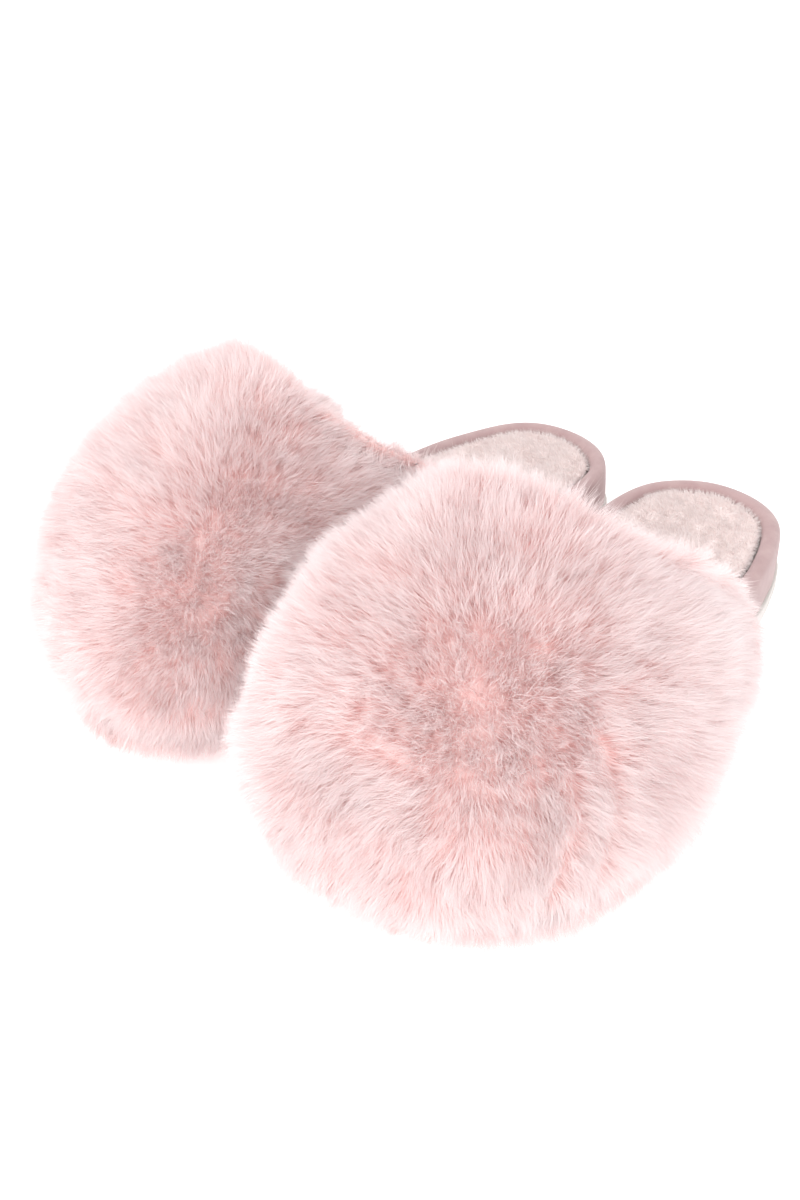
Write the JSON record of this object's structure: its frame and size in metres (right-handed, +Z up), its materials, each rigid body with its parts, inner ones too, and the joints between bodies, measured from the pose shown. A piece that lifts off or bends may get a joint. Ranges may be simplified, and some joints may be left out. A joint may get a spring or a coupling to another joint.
{
  "type": "fluffy house slippers",
  "caption": "Pair of backless house slippers with a domed long-pile faux-fur vamp, plush footbed, padded heel rim and flat treaded sole.",
  "frame": {"origin": "on the ground, under the middle of the pair's own bounding box", "axes": "+Z up; both toes point along -Y, each turned about 10 degrees outwards at the toe; the wearer's left slipper is at +X and the right one at -X"},
  "size_m": [0.2748, 0.2608, 0.109],
  "materials": {
    "sole_rubber": "satin",
    "sewing_thread": "matte",
    "sole_foam": "matte",
    "insole_board": "matte",
    "memory_foam": "matte",
    "footbed_plush": "matte",
    "binding_velour": "satin",
    "lining_plush": "matte",
    "interlining_foam": "matte",
    "topline_tape": "matte",
    "faux_fur": "matte"
  },
  "bodies": {
    "left_slipper": {"left_outsole": "sole_rubber", "left_sole_stitch_thread": "sewing_thread", "left_midsole": "sole_foam", "left_insole_board": "insole_board", "left_memory_foam": "memory_foam", "left_footbed_plush": "footbed_plush", "left_heel_rim_foam": "memory_foam", "left_heel_binding": "binding_velour", "left_upper_lining": "lining_plush", "left_upper_interlining": "interlining_foam", "left_topline_tape": "topline_tape", "left_fur_upper": "faux_fur"},
    "right_slipper": {"right_outsole": "sole_rubber", "right_sole_stitch_thread": "sewing_thread", "right_midsole": "sole_foam", "right_insole_board": "insole_board", "right_memory_foam": "memory_foam", "right_footbed_plush": "footbed_plush", "right_heel_rim_foam": "memory_foam", "right_heel_binding": "binding_velour", "right_upper_lining": "lining_plush", "right_upper_interlining": "interlining_foam", "right_topline_tape": "topline_tape", "right_fur_upper": "faux_fur"}
  },
  "joints": [
    {"name": "slippers_apart", "type": "slide", "parent": "left_slipper", "child": "right_slipper", "axis": [-1, 0, 0], "range_m": [0, 0.2]}
  ]
}
